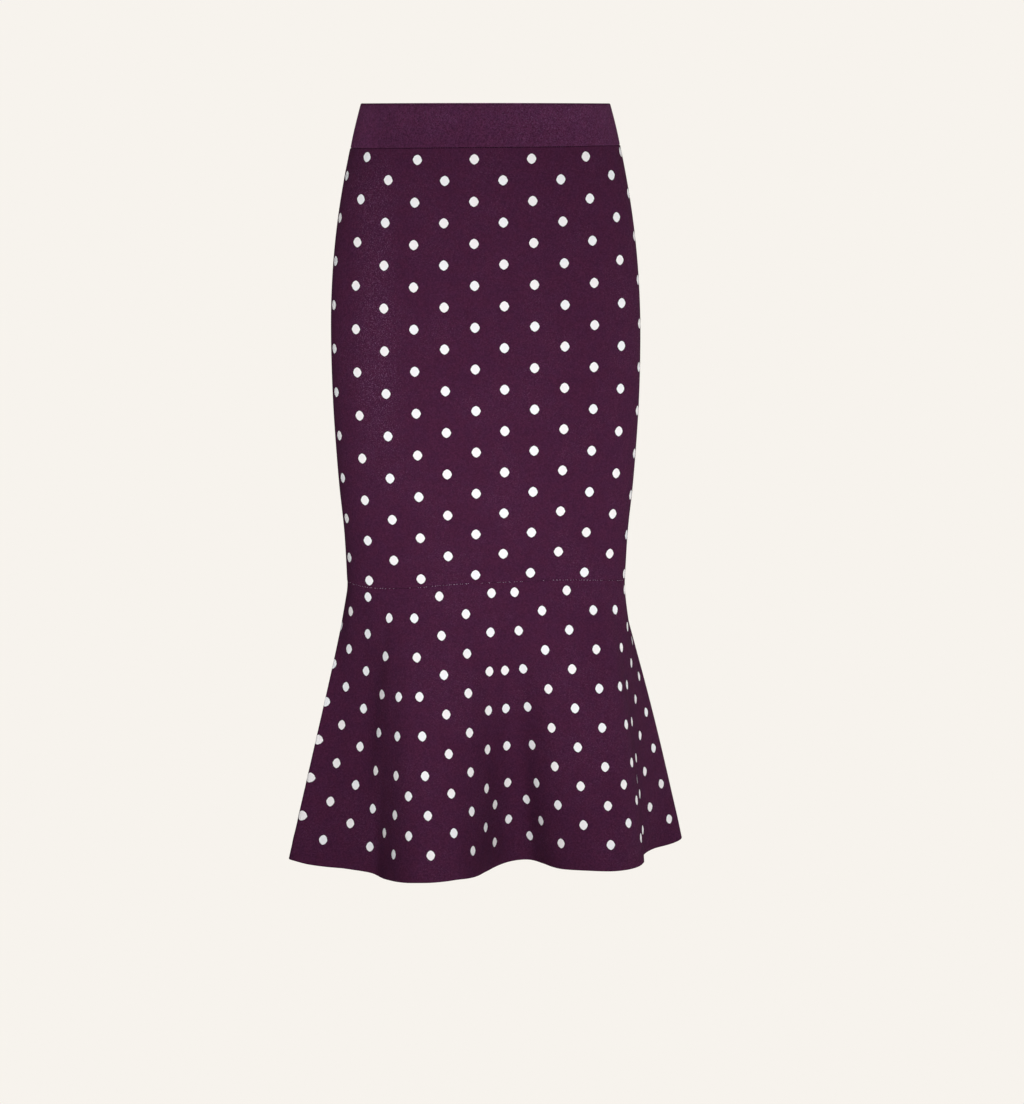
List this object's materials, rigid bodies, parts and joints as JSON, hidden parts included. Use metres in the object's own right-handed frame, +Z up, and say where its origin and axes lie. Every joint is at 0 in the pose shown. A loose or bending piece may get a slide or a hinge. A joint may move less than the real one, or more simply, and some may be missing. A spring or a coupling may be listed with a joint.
{
  "type": "knitted trumpet skirt",
  "caption": "Pull-on knitted midi skirt in dark plum with pale polka dots: plain waistband, fitted body to the knee, and a flared flounce in soft flutes, filled out as if worn.",
  "frame": {"origin": "centre of the waist opening, level with the skirt's top edge", "axes": "+Z up along the skirt towards the waist, the front faces -Y, and the wearer's left is towards +X"},
  "size_m": [0.4301, 0.3073, 0.8158],
  "materials": {
    "plain_knit": "matte plain knit, dark plum",
    "dotted_knit": "matte jacquard knit, dark plum with pale grey-white dots"
  },
  "bodies": {
    "root": {"waistband": "plain_knit", "body_front": "dotted_knit", "body_back": "dotted_knit", "flounce_front": "dotted_knit", "flounce_back": "dotted_knit"}
  },
  "joints": []
}
